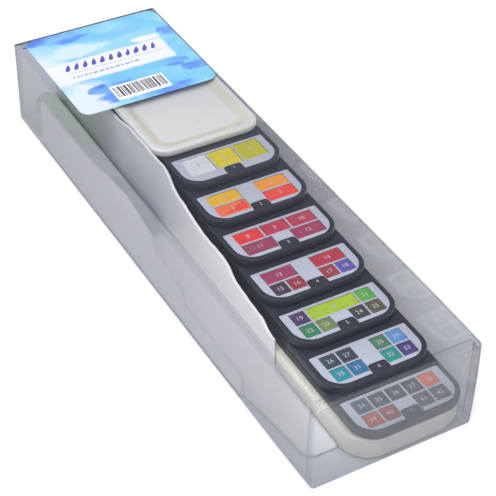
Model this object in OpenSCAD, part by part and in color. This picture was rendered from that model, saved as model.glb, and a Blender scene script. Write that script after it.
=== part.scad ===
// Sliding stair watercolour pan set, packed in its clear tuck-end display box.
// Millimetres. +X runs across the box, +Y towards the labelled end, +Z up.
// The origin is on the standing surface, under the middle of the box.
// Modules draw from the box's near left bottom corner; in_box() moves them to the origin.

/* [Clear box] */
// Length of the closed box along Y
box_l = 280; // [280:1:290]
// Width of the closed box along X
box_w = 75.5; // [75.5:0.5:80]
// Height of the closed box
box_h = 43.2; // [43.2:0.2:46]
// Thickness of the clear sheet
sheet = 0.4; // [0.35:0.05:0.4]
// Radius of the folded long edges
fold_r = 0.7; // [0.7:0.05:0.8]
// Depth of the tuck tongue on each end flap
tongue_d = 5; // [3:0.5:5]

/* [Label] */
// Side of the square label on the box's top
label_side = 70; // [60:1:70]
// Plain margin at the left of the label
label_x = 4; // [2:0.5:4]
// Corner radius of the label
label_r = 5; // [3:0.5:8]
// Thickness of the label
label_t = 0.2; // [0.1:0.05:0.3]

/* [Stair of trays] */
// Distance that each level is set back from the level below it
step_back = 23.8; // [22:0.1:23.8]
// Rise from one level to the next
step_rise = 4; // [4:0.1:4.1]
// Width of a paint tray
tray_w = 50.4; // [49.5:0.1:50.4]
// Length of a paint tray, most of it hidden under the level above
tray_l = 106; // [100:1:111]
// Thickness of a paint tray
tray_t = 3.7; // [3.6:0.05:3.7]
// Radius of a tray's two near corners
tray_r = 10.5; // [8:0.5:12]

/* [Colour cards and pans] */
// Width of a colour card
card_w = 46; // [44:0.5:46]
// Depth of a colour card along Y
card_d = 18.8; // [17:0.1:18.8]
// Radius of a card's two near corners
card_r = 8.5; // [7:0.5:9]
// Thickness of a colour card
card_t = 0.4; // [0.3:0.05:0.5]
// Width of the card between two windows
card_bar = 0.7; // [0.5:0.1:1]

/* [White dishes] */
// Width of the base dish and of the mixing dish
dish_w = 53.8; // [53:0.1:54]
// Height of the mixing dish
mixing_h = 3.7; // [3.6:0.05:3.7]
// Depth of the mixing dish's well
well_depth = 1.7; // [1.4:0.1:1.7]
// Wall of the base dish
dish_wall = 2; // [1.6:0.1:2.4]

/* [Water brush] */
// Outer diameter of the brush cap
cap_d = 12.4; // [11:0.1:12.6]
// Length of the brush cap
cap_l = 51; // [45:1:51]
// Length of the brush behind its cap
handle_l = 66; // [55:1:80]

/* [Hidden] */
$fn = 64;

// Places in the box
last = 7;                                    // the lowest tray
side_gap = 0.3;                              // free play beside a moving dish
dish_x = box_w - sheet - side_gap - dish_w;  // left edge of both dishes
tray_x = dish_x + dish_w - side_gap - tray_w - 0.1;
near_y = 1.2;                                // near edge of the lowest tray
base_top = 10.3;                             // where the lowest tray rests
function level(i) = last - i;                // the lowest tray is level 0, the mixing dish level 7
function edge_y(i) = near_y + step_back * level(i);
function under_z(i) = base_top + step_rise * level(i);
function top_z(i) = under_z(i) + tray_t;

// Colour card, its windows and the finger tab
card_x = (tray_w - card_w) / 2;
card_y = 2.2;
recess = 0.6;                                // depth of the card's seat in the tray
cell_side = 3.2;                             // blank card at the left and right of the windows
cell_near = 1.6;                             // blank card in front of the windows
cell_far = 1.0;
columns = 5;
column_w = (card_w - 2 * cell_side) / columns;
row_d = (card_d - cell_near - cell_far) / 2;
tab_w = 8.4;
tab_d = 4.6;
tab_r = 1.6;
fit_gap = 0.25;                              // between the card's notch and the tab
cake_gap = 0.15;                             // round each paint cake
floor_t = 0.6;                               // tray floor under the cakes
cake_drop = 0.3;                             // cake surface below the tray's rim

// Shoulder pins, fixed in the upper level and sliding in the lower level's slots
pin_y = 34;                                  // from the upper level's near edge
stem_r = 1.5;
stem_slot_r = 1.7;
head_r = 2.9;
head_slot_r = 3.2;
head_t = 0.8;
head_slot_t = 1.2;
pin_bite = 1.4;                              // blind depth in the upper level
end_play = 0.2;
function pin_x(i) = i % 2 == 0 ? 16 : 9;     // from the tray's middle line, for the pins of level i

// End flaps, a little thinner than the sleeve
flap_t = sheet - 0.1;

// Liner and stair support, formed from thin white sheet
liner_t = 0.6;
liner_x = 0.75;                              // outer face of the outer flap
inner_x = dish_x - 0.4;                      // right face of the liner's inner wall
support_gap = 0.2;

// Water brush
brush_x = 13;
brush_z = sheet + liner_t + 0.2 + cap_d / 2;
cap_far_y = box_l - 2;
cap_near_y = cap_far_y - cap_l;
cap_wall = 0.9;
grip_l = 30;
nozzle_l = 20;
tuft_l = 14;

module in_box() translate([-box_w / 2, -box_l / 2, 0]) children();

// A flat shape given as (X, Z), run along Y
module along_y(y0, y1) translate([0, y1, 0]) rotate([90, 0, 0]) linear_extrude(y1 - y0) children();

// A flat shape given as (Y, Z), run along X
module along_x(x0, x1) translate([x0, 0, 0]) rotate([90, 0, 90]) linear_extrude(x1 - x0) children();

// A turned shape given as (radius, distance), with its axis along +Y from y0
module turned(y0) translate([brush_x, y0, brush_z]) rotate([-90, 0, 0]) rotate_extrude() children();

// Plan outline with one radius at the near corners and another at the far corners
module outline(w, l, near_r, far_r) {
    translate([near_r, 0]) square([w - 2 * near_r, l - far_r]);
    translate([0, near_r]) square([w, l - near_r - far_r]);
    translate([far_r, near_r]) square([w - 2 * far_r, l - near_r]);
    for (x = [near_r, w - near_r]) translate([x, near_r]) circle(near_r);
    for (x = [far_r, w - far_r]) translate([x, l - far_r]) circle(far_r);
}

// A slot's outline from y0 to y1 between its end centres
module slot(y0, y1, r) {
    translate([-r, y0]) square([2 * r, y1 - y0]);
    for (y = [y0, y1]) translate([0, y]) circle(r);
}

// Windows of tray i's card, each as [first column, columns, first row, rows], rows from the far side
function pair_row(row) = [for (c = [0, 3]) [c, 2, row, 1]];
function four_row(row) = [for (c = [0, 1, 3, 4]) [c, 1, row, 1]];
function thirds(rows) = [for (k = [0:2]) [k * columns / 3, columns / 3, 0, rows]];
function windows(i) =
    i == 1 ? thirds(1.65) :
    i == 2 ? concat(pair_row(0), pair_row(1)) :
    i == 3 ? concat(thirds(1), pair_row(1)) :
    i == 4 ? concat(pair_row(0), four_row(1)) :
    i == 5 ? concat([[0, 1, 0, 1], [1, 3, 0, 1], [4, 1, 0, 1]], four_row(1)) :
    i == 6 ? concat(four_row(0), four_row(1)) :
    concat([for (c = [0:4]) [c, 1, 0, 1]], four_row(1));

// The windows' outlines in the card's own frame, each made smaller by gap all round
module window_shapes(i, gap) {
    intersection() {
        translate([card_bar + gap, card_bar + gap])
            outline(card_w - 2 * (card_bar + gap), card_d - 2 * (card_bar + gap),
                card_r - card_bar - gap, 0.3);
        for (cell = windows(i)) {
            x = cell_side + cell[0] * column_w + card_bar / 2 + gap;
            y = card_d - cell_far - (cell[2] + cell[3]) * row_d + card_bar / 2 + gap;
            translate([x, y])
                square([cell[1] * column_w - card_bar - 2 * gap, cell[3] * row_d - card_bar - 2 * gap]);
        }
    }
}

// The finger tab's outline in the card's frame, made larger by gap
module tab_shape(gap) {
    w = tab_w + 2 * gap;
    d = tab_d + gap;
    r = tab_r + gap;
    translate([(card_w - w) / 2, 0]) {
        square([w, d - r]);
        translate([r, 0]) square([w - 2 * r, d]);
        for (x = [r, w - r]) translate([x, d - r]) circle(r);
    }
}

module card_shape(i) {
    difference() {
        outline(card_w, card_d, card_r, 0.8);
        window_shapes(i, 0);
        translate([0, -0.01]) tab_shape(fit_gap);
    }
}

// The lower level's share of a sliding pair: two stepped slots, open at the underside
module pin_slots(upper) {
    for (side = [-1, 1]) translate([tray_w / 2 + side * pin_x(upper), 0, 0]) {
        translate([0, 0, -1]) linear_extrude(tray_t + 2)
            slot(pin_y - end_play, pin_y + step_back + end_play, stem_slot_r);
        translate([0, 0, -1]) linear_extrude(head_slot_t + 1)
            slot(pin_y - end_play, pin_y + step_back + end_play, head_slot_r);
    }
}

// The upper level's share: two blind holes in its underside
module pin_holes(upper) {
    for (side = [-1, 1]) translate([tray_w / 2 + side * pin_x(upper), pin_y, -1])
        cylinder(r = stem_r, h = pin_bite + 1);
}

// Two shoulder pins of the level above tray "upper + 1"
module pins(upper) {
    color("gainsboro") in_box() translate([tray_x, edge_y(upper), under_z(upper)])
        for (side = [-1, 1]) translate([tray_w / 2 + side * pin_x(upper), pin_y, 0]) {
            head_z = head_slot_t - step_rise - 0.2 - head_t;
            translate([0, 0, head_z]) cylinder(r = head_r, h = head_t);
            translate([0, 0, head_z]) cylinder(r = stem_r, h = pin_bite - head_z);
        }
}

module tray(i) {
    color([0.24, 0.26, 0.31]) in_box() translate([tray_x, edge_y(i), under_z(i)]) difference() {
        linear_extrude(tray_t) outline(tray_w, tray_l, tray_r, 3);
        translate([card_x, card_y, tray_t - recess]) linear_extrude(2) difference() {
            translate([-0.1, -0.1]) outline(card_w + 0.2, card_d + 0.2, card_r + 0.1, 0.9);
            translate([0, -0.2]) tab_shape(0);
        }
        translate([card_x, card_y, floor_t]) linear_extrude(tray_t) window_shapes(i, 0);
        pin_slots(i - 1);
        if (i < last) pin_holes(i);
    }
}

module color_card(i) {
    color([0.76, 0.77, 0.82]) in_box()
        translate([tray_x + card_x, edge_y(i) + card_y, top_z(i) - recess])
            linear_extrude(card_t) card_shape(i);
}

module paint_pans(i, tint) {
    color(tint) in_box() translate([tray_x + card_x, edge_y(i) + card_y, under_z(i) + floor_t])
        linear_extrude(tray_t - floor_t - cake_drop) window_shapes(i, cake_gap);
}

module mixing_dish() {
    rim = 2;
    slope = 8;
    color("white") in_box() translate([dish_x, edge_y(0), under_z(0)]) difference() {
        linear_extrude(mixing_h) outline(dish_w, tray_l, 8, 8);
        hull() {
            translate([rim, rim, mixing_h]) linear_extrude(0.5)
                outline(dish_w - 2 * rim, tray_l - 2 * rim, 7, 7, $fn = 32);
            translate([rim + slope, rim + slope, mixing_h - well_depth]) linear_extrude(0.1)
                outline(dish_w - 2 * (rim + slope), tray_l - 2 * (rim + slope), 4, 4, $fn = 32);
        }
        translate([tray_x - dish_x, 0, 0]) pin_holes(0);
    }
}

// Base dish: three wells face up, and the lowest tray closes them
module base_dish() {
    wells = 3;
    well_l = (tray_l - dish_wall * (wells + 1)) / wells;
    color("white") in_box() translate([dish_x, near_y - 0.1, sheet]) difference() {
        linear_extrude(base_top - sheet) outline(dish_w, tray_l, 13, 8);
        for (k = [0:wells - 1])
            translate([dish_wall + 2, dish_wall + k * (well_l + dish_wall), 1.6])
                linear_extrude(base_top) outline(dish_w - 2 * dish_wall - 4, well_l, 9, 9);
    }
}

module box_section(inset) {
    r = fold_r - inset;
    w = box_w - 2 * inset;
    h = box_h - 2 * inset;
    translate([inset, inset]) outline(w, h, r, r);
}

module box_sleeve() {
    color([0.8, 0.84, 0.9, 0.35]) in_box() along_y(sheet, box_l - sheet) difference() {
        box_section(0);
        box_section(sheet);
    }
}

// End flap with its tuck tongue and two side tongues, drawn at the near end; the crease is its
// bottom edge
module flap_shape() {
    side = sheet + 0.15;
    top = box_h - sheet - 0.4;
    tongue_side = side + 2;
    corner = 2;
    translate([side, 0, 0]) cube([box_w - 2 * side, flap_t, top]);
    translate([tongue_side, 0, top - flap_t]) cube([box_w - 2 * tongue_side, tongue_d, flap_t]);
    for (x = [side, box_w - side - flap_t])
        translate([x, 0, corner]) cube([flap_t, tongue_d, top - flap_t - 2 * corner]);
}

module near_end_flap() color([0.8, 0.84, 0.9, 0.35]) in_box() flap_shape();

module far_end_flap()
    color([0.8, 0.84, 0.9, 0.35]) in_box() translate([0, box_l, 0]) mirror([0, 1, 0]) flap_shape();

module box_label() {
    color([0.45, 0.72, 0.92]) in_box()
        translate([label_x, box_l - 2 - label_side, box_h])
            linear_extrude(label_t) outline(label_side, label_side, label_r, label_r);
}

// A wave that eases from one height to the next between given places, as [Y, Z] points
function ease(t) = (1 - cos(180 * t)) / 2;
function wave(stops, parts = 8) = [
    for (k = [0:len(stops) - 2]) for (n = [0:parts - 1])
        [
            stops[k][0] + (stops[k + 1][0] - stops[k][0]) * n / parts,
            stops[k][1] + (stops[k + 1][1] - stops[k][1]) * ease(n / parts)
        ],
    stops[len(stops) - 1]
];

// Top edge of the liner's inner wall, cut to follow the stair, and of its outer flap
inner_stops = [[64, 18], [73, 21.5], [92, 23.5], [104, 29.2], [122, 29.4], [144, 33.5], [159, 41],
    [183, 41.2], [215, 38], [279, 36]];
outer_stops = [[55, 11.5], [103, 10.8], [108, 18], [128, 19.8], [136, 27.5], [160, 31.5],
    [205, 26.5], [250, 26]];

module liner() {
    floor_y = outer_stops[0][0];
    wall_y = 62;
    end_y = box_l - 1;
    flap_y = 252;
    // The channel's floor runs on past the flap, narrowing to a rounded near corner
    apron_x = 6.4;
    apron_y = 13.5;
    apron_r = 6;
    apron = concat([[inner_x, floor_y + 1], [2.4, floor_y + 1]],
        [for (k = [0:6]) [apron_x + apron_r * (1 - cos(15 * k)), apron_y + apron_r * (1 - sin(15 * k))]],
        [[inner_x, apron_y]]);
    color([0.9, 0.9, 0.9]) in_box() {
        along_x(liner_x, inner_x) translate([floor_y, sheet]) square([end_y - floor_y, liner_t]);
        translate([0, 0, sheet]) linear_extrude(liner_t) polygon(apron);
        along_x(inner_x - liner_t, inner_x)
            polygon(concat([[end_y, sheet], [wall_y, sheet], [wall_y, 17]], wave(inner_stops)));
        along_x(liner_x, liner_x + liner_t)
            polygon(concat([[flap_y, sheet], [floor_y, sheet]], wave(outer_stops), [[flap_y, 24]]));
    }
}

// Formed stair that carries the overhang of every level above the lowest tray
module stair_support() {
    levels = [for (k = [1:last]) last - k];
    end_y = box_l - tongue_d - 0.2;          // clear of the end flap's tongues
    // Steps under the levels, the last one ending at the far wall
    function deck(far) = [
        for (i = levels) each [
            [edge_y(i + 1) + tray_l + 0.6, under_z(i) - support_gap],
            [i == 0 ? far : edge_y(i) + tray_l + 0.6, under_z(i) - support_gap]
        ]
    ];
    first_y = deck(end_y)[0][0];
    inner_y = end_y - 2 * liner_t;
    color([0.93, 0.93, 0.92]) in_box() along_x(dish_x, dish_x + dish_w) difference() {
        polygon(concat([[first_y, sheet]], deck(end_y), [[end_y, sheet]]));
        translate([liner_t, -liner_t])
            polygon(concat([[first_y, 0]], deck(inner_y), [[inner_y, 0]]));
    }
}

module brush_cap() {
    r = cap_d / 2;
    color([0.45, 0.68, 0.42]) in_box() turned(cap_near_y) difference() {
        union() {
            square([r, cap_l - 3]);
            square([r - 3, cap_l]);
            translate([r - 3, cap_l - 3]) intersection() {
                circle(3);
                square(3);
            }
        }
        translate([-1, -1]) square([r - cap_wall + 1, cap_l - 4 + 1]);
    }
}

// Ribbed collar that screws on the barrel and takes the cap over its front spigot
module brush_grip() {
    r = 5.9;
    color([0.86, 0.88, 0.92]) in_box() turned(cap_near_y - grip_l) difference() {
        union() {
            square([r - 0.6, grip_l - 0.4]);
            square([r, 6]);
            for (k = [0:4]) translate([0, 8 + 4 * k]) square([r, 2]);
            translate([0, grip_l - 0.4]) square([4.9, 12.4]);
        }
        translate([-1, -1]) square([3.6 + 1, 8 + 1]);
    }
}

module brush_barrel() {
    barrel_l = handle_l - grip_l;
    r = 5.8;
    color([0.8, 0.86, 0.95, 0.4]) in_box() turned(cap_near_y - handle_l) difference() {
        union() {
            translate([0, 3]) square([r, barrel_l - 3]);
            square([r - 3, 3]);
            translate([r - 3, 3]) intersection() {
                circle(3);
                translate([0, -3]) square(3);
            }
            square([3.5, barrel_l + 7.5]);
        }
        translate([-1, 1]) square([2.6 + 1, barrel_l + 10]);
        translate([-1, 4]) square([r - 0.9 + 1, barrel_l - 6]);
    }
}

module brush_nozzle() {
    color([0.9, 0.91, 0.93]) in_box() turned(cap_near_y + 12) difference() {
        polygon([[0, 0], [3.4, 0], [3.4, 2], [1.7, nozzle_l], [0, nozzle_l]]);
        translate([-1, nozzle_l - 5]) square([1 + 1.3, 6]);
    }
}

module brush_bristles() {
    color([0.95, 0.9, 0.78]) in_box() turned(cap_near_y + 12 + nozzle_l - 5)
        polygon([[0, 0], [1.3, 0], [1.3, 5], [1.5, 7.5], [1.1, 10.5], [0.15, tuft_l], [0, tuft_l]]);
}

box_sleeve();
near_end_flap();
far_end_flap();
box_label();
liner();
stair_support();
base_dish();
mixing_dish();
tray(1);  // tray_1
tray(2);  // tray_2
tray(3);  // tray_3
tray(4);  // tray_4
tray(5);  // tray_5
tray(6);  // tray_6
tray(7);  // tray_7
color_card(1);  // color_card_1
color_card(2);  // color_card_2
color_card(3);  // color_card_3
color_card(4);  // color_card_4
color_card(5);  // color_card_5
color_card(6);  // color_card_6
color_card(7);  // color_card_7
paint_pans(1, [0.90, 0.84, 0.30]);  // paint_pans_1
paint_pans(2, [0.98, 0.56, 0.25]);  // paint_pans_2
paint_pans(3, [0.80, 0.24, 0.33]);  // paint_pans_3
paint_pans(4, [0.55, 0.20, 0.32]);  // paint_pans_4
paint_pans(5, [0.48, 0.60, 0.27]);  // paint_pans_5
paint_pans(6, [0.20, 0.45, 0.55]);  // paint_pans_6
paint_pans(7, [0.45, 0.36, 0.38]);  // paint_pans_7
pins(0);  // mixing_dish_pins
pins(1);  // tray_1_pins
pins(2);  // tray_2_pins
pins(3);  // tray_3_pins
pins(4);  // tray_4_pins
pins(5);  // tray_5_pins
pins(6);  // tray_6_pins
brush_cap();
brush_barrel();
brush_grip();
brush_nozzle();
brush_bristles();
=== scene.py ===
"""Looks of the watercolour pan set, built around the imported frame.

Shapes are drawn in millimetres in the frame's own axes and stored in metres.
"""
import math
import random

import bmesh
import bpy
from mathutils import Matrix, Vector


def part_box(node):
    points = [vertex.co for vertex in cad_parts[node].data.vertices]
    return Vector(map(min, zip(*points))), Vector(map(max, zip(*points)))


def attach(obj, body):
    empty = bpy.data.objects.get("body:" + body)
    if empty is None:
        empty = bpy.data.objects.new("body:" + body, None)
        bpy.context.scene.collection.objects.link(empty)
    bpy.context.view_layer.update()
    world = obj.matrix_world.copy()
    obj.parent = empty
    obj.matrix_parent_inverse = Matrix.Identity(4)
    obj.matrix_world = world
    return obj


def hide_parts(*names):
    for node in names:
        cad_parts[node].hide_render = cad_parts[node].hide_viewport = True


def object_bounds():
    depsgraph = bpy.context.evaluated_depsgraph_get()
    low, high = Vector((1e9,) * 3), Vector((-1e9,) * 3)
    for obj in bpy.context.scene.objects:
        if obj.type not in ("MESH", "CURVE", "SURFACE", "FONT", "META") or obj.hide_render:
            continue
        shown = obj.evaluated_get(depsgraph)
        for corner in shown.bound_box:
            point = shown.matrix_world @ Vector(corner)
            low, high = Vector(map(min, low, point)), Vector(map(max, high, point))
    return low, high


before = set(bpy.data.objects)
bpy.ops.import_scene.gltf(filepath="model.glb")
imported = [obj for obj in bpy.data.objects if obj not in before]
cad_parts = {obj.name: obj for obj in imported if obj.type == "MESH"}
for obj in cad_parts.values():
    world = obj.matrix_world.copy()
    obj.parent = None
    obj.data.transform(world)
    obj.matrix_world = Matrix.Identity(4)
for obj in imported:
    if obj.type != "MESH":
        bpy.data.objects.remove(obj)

MM = 0.001
CAD_BOX = [list(corner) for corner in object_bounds()]
SCENE = bpy.context.scene
TRAYS = range(1, 8)
PITCH = 23.8                      # each level's set-back from the one below


def span(node):
    """Lowest and highest corner of a CAD node, in millimetres."""
    low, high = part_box(node)
    return low / MM, high / MM


def body_of_tray(i):
    return "box_and_base" if i == 7 else f"tray_{i}_slider"


# ---------------------------------------------------------------- materials

def srgb(r, g, b):
    """A colour given as 0 to 255, as linear RGBA."""
    def linear(c):
        c /= 255
        return c / 12.92 if c <= 0.04045 else ((c + 0.055) / 1.055) ** 2.4
    return (linear(r), linear(g), linear(b), 1.0)


def new_material(name):
    material = bpy.data.materials.new(name)
    material.use_nodes = True
    nodes = material.node_tree.nodes
    return material, nodes, material.node_tree.links, nodes["Principled BSDF"]


def add_node(nodes, links, kind, inputs, **settings):
    """A shader node with its settings; each input is a plain value or another node's output."""
    node = nodes.new("ShaderNode" + kind)
    for key, value in settings.items():
        setattr(node, key, value)
    for key, value in inputs.items():
        if isinstance(value, bpy.types.NodeSocket):
            links.new(value, node.inputs[key])
        else:
            node.inputs[key].default_value = value
    return node


def noise(nodes, links, scale, detail=3.0):
    """A noise texture in the object's own space; scale is in cycles per metre."""
    place = nodes.new("ShaderNodeTexCoord").outputs["Object"]
    return add_node(nodes, links, "TexNoise", {"Vector": place, "Scale": scale, "Detail": detail})


def ramp(nodes, links, source, stops):
    """A colour ramp; stops are (position, colour)."""
    node = nodes.new("ShaderNodeValToRGB")
    elements = node.color_ramp.elements
    while len(elements) < len(stops):
        elements.new(0.5)
    for element, (position, colour) in zip(elements, stops):
        element.position = position
        element.color = colour
    links.new(source, node.inputs["Fac"])
    return node


def maths(nodes, links, operation, a, b=0.0, clamp=False):
    return add_node(nodes, links, "Math", {0: a, 1: b}, operation=operation,
                    use_clamp=clamp).outputs["Value"]


def grey(value):
    return (value, value, value, 1.0)


def add_bump(nodes, links, shader, source, strength, distance):
    bump = add_node(nodes, links, "Bump", {"Strength": strength, "Distance": distance,
                                           "Height": source})
    links.new(bump.outputs["Normal"], shader.inputs["Normal"])


def moulded(name, colour, roughness, grain=0.05, mottling=0.04, coat=0.0, uneven=0.18):
    """Moulded plastic: faint mottling, fine orange-peel bump and uneven gloss."""
    material, nodes, links, shader = new_material(name)
    cloud = noise(nodes, links, 90, 4)
    darker = tuple(c * (1 - mottling) for c in colour[:3]) + (1.0,)
    lighter = tuple(min(1, c * (1 + mottling)) for c in colour[:3]) + (1.0,)
    tone = ramp(nodes, links, cloud.outputs["Fac"], [(0.3, darker), (0.7, lighter)])
    links.new(tone.outputs["Color"], shader.inputs["Base Color"])
    gloss = noise(nodes, links, 260, 3)
    rough = ramp(nodes, links, gloss.outputs["Fac"],
                 [(0.25, grey(roughness * (1 - uneven))),
                  (0.75, grey(min(1, roughness * (1 + uneven))))])
    links.new(rough.outputs["Color"], shader.inputs["Roughness"])
    peel = noise(nodes, links, 2600, 2)
    add_bump(nodes, links, shader, peel.outputs["Fac"], grain, 0.0002)
    shader.inputs["Coat Weight"].default_value = coat
    shader.inputs["Coat Roughness"].default_value = 0.12
    return material


def paint(name, colour):
    """A cake of dry paint: pigment granules, small pits and a drier, paler skin in places."""
    material, nodes, links, shader = new_material(name)
    grains = noise(nodes, links, 1500, 6)
    patches = noise(nodes, links, 240, 3)
    tone = ramp(nodes, links, patches.outputs["Fac"],
                [(0.25, tuple(c * 0.9 for c in colour[:3]) + (1.0,)), (0.55, colour),
                 (0.9, tuple(c * 0.94 + 0.05 for c in colour[:3]) + (1.0,))])
    speck = ramp(nodes, links, grains.outputs["Fac"], [(0.3, grey(0.82)), (0.5, grey(1.0))])
    mix = add_node(nodes, links, "Mix",
                   {"Factor": 1.0, "A": tone.outputs["Color"], "B": speck.outputs["Color"]},
                   data_type="RGBA", blend_type="MULTIPLY")
    links.new(mix.outputs["Result"], shader.inputs["Base Color"])
    rough = ramp(nodes, links, grains.outputs["Fac"], [(0.3, grey(0.7)), (0.7, grey(0.5))])
    links.new(rough.outputs["Color"], shader.inputs["Roughness"])
    add_bump(nodes, links, shader, grains.outputs["Fac"], 0.25, 0.0002)
    return material


HAZE_SLANT = (0.37, 0.62)         # slant at which haze begins, and at which it is full
HAZE_SHADE_DRIFT = (3.0, 1.3, 0)        # painted shade: how the dark haze grows along each axis, per metre, darkening the far end and right side
GLARE = (0.02, 0.5)               # share mirrored face on, and at grazing
GLARE_POWER = 3


def clear_sheet(name, tint, haze_colour, haze_low, haze_high):
    """Clear sheet: tinted see-through, a smoky haze that thickens at a slant, and a glossy skin.

    The haze is a little uneven: deeper towards the far end and the right side, as painted shade that
    darkens them.
    """
    material, nodes, links, shader = new_material(name)
    cloud = noise(nodes, links, 35, 2)
    tone = ramp(nodes, links, cloud.outputs["Fac"],
                [(0.3, tuple(c * 0.94 for c in haze_colour[:3]) + (1.0,)), (0.7, haze_colour)])
    links.new(tone.outputs["Color"], shader.inputs["Base Color"])
    shader.inputs["Roughness"].default_value = 0.35
    shader.inputs["Specular IOR Level"].default_value = 0.2
    through = add_node(nodes, links, "BsdfTransparent", {"Color": tint})
    slant = add_node(nodes, links, "LayerWeight", {"Blend": 0.5}).outputs["Facing"]
    haze = add_node(nodes, links, "MapRange", {
        "Value": slant, "From Min": HAZE_SLANT[0], "From Max": HAZE_SLANT[1],
        "To Min": haze_low, "To Max": haze_high})
    place = nodes.new("ShaderNodeTexCoord").outputs["Object"]
    # Painted shade: the haze thickens along the object's axes, darkening the far end and the right
    # side
    shade_drift = add_node(nodes, links, "VectorMath", {0: place, 1: HAZE_SHADE_DRIFT},
                     operation="DOT_PRODUCT")
    uneven = maths(nodes, links, "ADD", shade_drift.outputs["Value"], 1.0)
    amount = maths(nodes, links, "MULTIPLY", haze.outputs["Result"], uneven)
    body = add_node(nodes, links, "MixShader", {"Fac": amount, 1: through.outputs["BSDF"],
                                                2: shader.outputs["BSDF"]})
    mirror = add_node(nodes, links, "BsdfGlossy", {"Roughness": 0.07})
    add_bump(nodes, links, mirror, noise(nodes, links, 28, 2).outputs["Fac"], 0.12, 0.002)
    # Share reflected by either face of the sheet, rising towards grazing
    steep = maths(nodes, links, "POWER", slant, GLARE_POWER)
    share = add_node(nodes, links, "MapRange", {"Value": steep, "To Min": GLARE[0],
                                                "To Max": GLARE[1]})
    skin = add_node(nodes, links, "MixShader", {"Fac": share.outputs["Result"],
                                                1: body.outputs["Shader"],
                                                2: mirror.outputs["BSDF"]})
    links.new(skin.outputs["Shader"], nodes["Material Output"].inputs["Surface"])
    return material


def wash_material(x0, y0, side):
    """The label's painted wash: cyan and blue pools on paper, with a plain pale band across."""
    material, nodes, links, shader = new_material("label_wash")
    place = add_node(nodes, links, "Mapping", {
        "Vector": nodes.new("ShaderNodeTexCoord").outputs["Object"],
        "Location": (-x0 / side, -y0 / side, 0),
        "Scale": (1 / (side * MM),) * 3}).outputs["Vector"]
    split = add_node(nodes, links, "SeparateXYZ", {"Vector": place})

    def math_node(*values, **options):
        return maths(nodes, links, *values, **options)

    def wash_noise(scale, detail, distortion, shift):
        mapping = add_node(nodes, links, "Mapping", {
            "Vector": place, "Location": shift, "Scale": (1.0, 1.7, 1.0)})
        return add_node(nodes, links, "TexNoise", {
            "Vector": mapping.outputs["Vector"], "Scale": scale, "Detail": detail,
            "Distortion": distortion}).outputs["Fac"]

    def mix(factor, a, b):
        return add_node(nodes, links, "Mix", {"Factor": factor, "A": a, "B": b},
                        data_type="RGBA").outputs["Result"]

    def pool(u, v, across, along, edge, wander):
        """1 inside a soft-edged pool of paint centred at (u, v), 0 outside."""
        du = math_node("DIVIDE", math_node("SUBTRACT", split.outputs["X"], u), across)
        dv = math_node("DIVIDE", math_node("SUBTRACT", split.outputs["Y"], v), along)
        far = math_node("ADD", math_node("MULTIPLY", du, du), math_node("MULTIPLY", dv, dv))
        rough = math_node("MULTIPLY", math_node("SUBTRACT", wander, 0.5), 2.6)
        far = math_node("ADD", far, rough)
        return math_node("DIVIDE", math_node("SUBTRACT", 1.0, far), edge, clamp=True)

    broad = wash_noise(2.2, 4, 0.6, (3.1, 0.4, 0))
    fine = wash_noise(5.5, 6, 1.2, (0.7, 5.2, 0))
    base = ramp(nodes, links, broad,
                [(0.32, srgb(104, 178, 226)), (0.5, srgb(122, 192, 228)),
                 (0.68, srgb(158, 208, 226))]).outputs["Color"]
    deep = ramp(nodes, links, fine,
                [(0.3, srgb(70, 116, 214)), (0.48, srgb(96, 152, 232)),
                 (0.75, srgb(136, 196, 234))]).outputs["Color"]
    paper = srgb(208, 220, 232)
    colour = mix(pool(0.03, 0.62, 0.17, 0.34, 0.8, broad), base, paper)
    colour = mix(pool(0.0, 0.1, 0.36, 0.3, 0.6, broad), colour, paper)
    colour = mix(pool(0.28, 0.74, 0.24, 0.09, 0.9, fine), colour, srgb(196, 220, 226))
    for u, v, across, along in ((0.14, 0.97, 0.3, 0.06), (0.3, 0.9, 0.16, 0.04),
                                (0.36, 0.15, 0.2, 0.12), (0.22, 0.22, 0.1, 0.06),
                                (0.95, 0.22, 0.12, 0.06), (0.84, 0.31, 0.1, 0.05),
                                (0.6, 0.03, 0.3, 0.05), (0.95, 0.7, 0.06, 0.08)):
        colour = mix(pool(u, v, across, along, 0.5, fine), colour, deep)
    wobble = math_node("MULTIPLY", math_node("SUBTRACT", fine, 0.5), 0.03)
    height = math_node("ADD", split.outputs["Y"], wobble)
    lower = math_node("MULTIPLY", math_node("SUBTRACT", height, 0.37), 60.0, clamp=True)
    upper = math_node("MULTIPLY", math_node("SUBTRACT", 0.64, height), 60.0, clamp=True)
    right = math_node("MULTIPLY", math_node("SUBTRACT", 0.885, split.outputs["X"]), 60.0, clamp=True)
    band = math_node("MULTIPLY", math_node("MULTIPLY", lower, upper), right)
    colour = mix(pool(0.78, 0.67, 0.13, 0.035, 0.5, fine), colour, srgb(222, 226, 240))
    colour = mix(math_node("MULTIPLY", band, 0.95), colour, srgb(224, 226, 238))
    links.new(colour, shader.inputs["Base Color"])
    fibres = noise(nodes, links, 1800, 5)
    rough = ramp(nodes, links, fibres.outputs["Fac"], [(0.3, grey(0.5)), (0.7, grey(0.36))])
    links.new(rough.outputs["Color"], shader.inputs["Roughness"])
    add_bump(nodes, links, shader, fibres.outputs["Fac"], 0.12, 0.0001)
    shader.inputs["Coat Weight"].default_value = 0.35
    shader.inputs["Coat Roughness"].default_value = 0.2
    return material


# ---------------------------------------------------------------- mesh tools

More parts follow.
